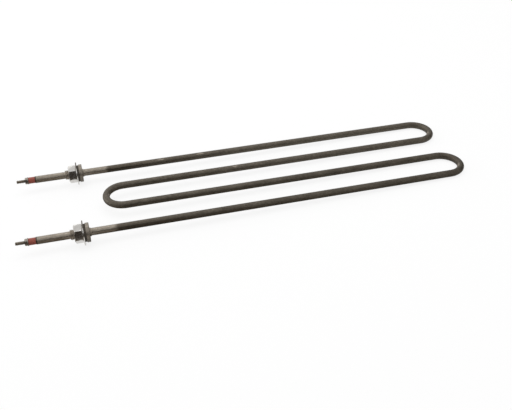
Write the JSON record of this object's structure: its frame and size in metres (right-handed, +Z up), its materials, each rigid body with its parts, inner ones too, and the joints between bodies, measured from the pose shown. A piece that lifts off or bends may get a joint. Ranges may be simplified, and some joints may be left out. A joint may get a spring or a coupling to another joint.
{
  "type": "tubular heating element",
  "caption": "Tubular air heating element bent into parallel legs in one plane, with flanged threaded wall bushings and threaded terminal studs.",
  "frame": {"origin": "midway between the two bushings, on the outer face of the wall that gasket and wide washer clamp", "axes": "+X along the legs to the far loops, +Y from the front leg to the rear leg, +Z up, square to the plane of the legs"},
  "size_m": [0.5424, 0.157, 0.028],
  "materials": {
    "steel_tube": "bright at the cold ends, dark oxide where heated",
    "magnesia": "pressed powder",
    "coil_wire": "drawn wire",
    "stud_steel": "dull rolled thread",
    "red_seal": "matt silicone",
    "bright_zinc": "bright zinc plate",
    "turned_steel": "turned, slightly stained",
    "braze": "dull",
    "gasket_fibre": "matt fibre"
  },
  "bodies": {
    "root": {"sheath": "steel_tube", "magnesia_fill": "magnesia", "resistance_coil": "coil_wire", "cold_pin_front": "stud_steel", "end_seal_front": "red_seal", "stud_washer_front": "bright_zinc", "stud_nut_front": "bright_zinc", "bushing_front": "turned_steel", "braze_ring_front": "braze", "gasket_front": "gasket_fibre", "wall_washer_front": "bright_zinc", "mounting_nut_front": "bright_zinc", "cold_pin_rear": "stud_steel", "end_seal_rear": "red_seal", "stud_washer_rear": "bright_zinc", "stud_nut_rear": "bright_zinc", "bushing_rear": "turned_steel", "braze_ring_rear": "braze", "gasket_rear": "gasket_fibre", "wall_washer_rear": "bright_zinc", "mounting_nut_rear": "bright_zinc"}
  },
  "joints": []
}
